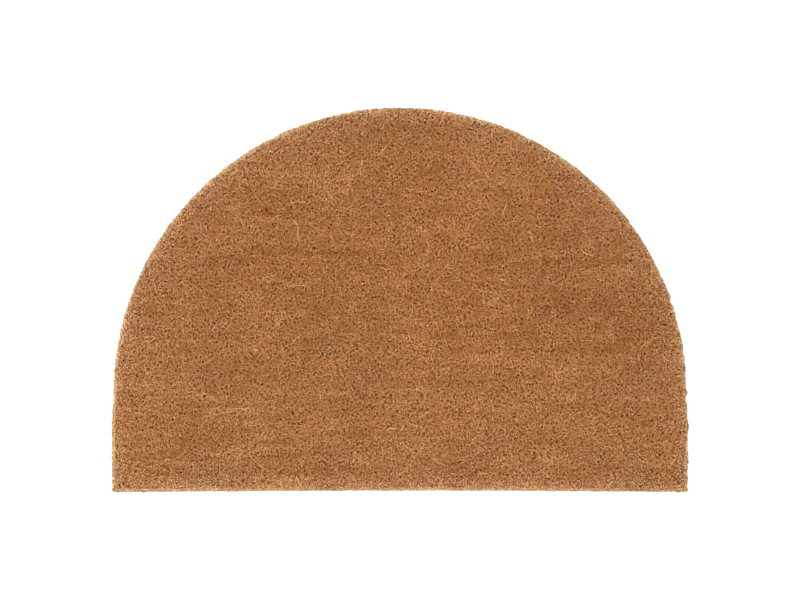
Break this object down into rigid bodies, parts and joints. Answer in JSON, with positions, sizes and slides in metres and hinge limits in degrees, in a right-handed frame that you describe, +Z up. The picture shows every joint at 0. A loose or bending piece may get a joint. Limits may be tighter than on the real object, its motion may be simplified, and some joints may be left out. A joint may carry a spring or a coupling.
{
  "type": "half-round coir doormat",
  "caption": "Flat half-round doormat of dense, short coir pile on a thin die-cut backing sheet, for wiping shoes at a door.",
  "frame": {"origin": "middle of the mat's bounding box, on the floor under the backing", "axes": "+X along the straight front edge, +Y from the front edge towards the crown of the arc, +Z up out of the pile"},
  "size_m": [0.6, 0.4, 0.0155],
  "materials": {
    "coir": "matt, coarse natural coconut fibre, tan with darker and paler fibres",
    "backing_sheet": "matt cream flexible sheet"
  },
  "bodies": {
    "root": {"backing": "backing_sheet", "pile": "coir"}
  },
  "joints": []
}
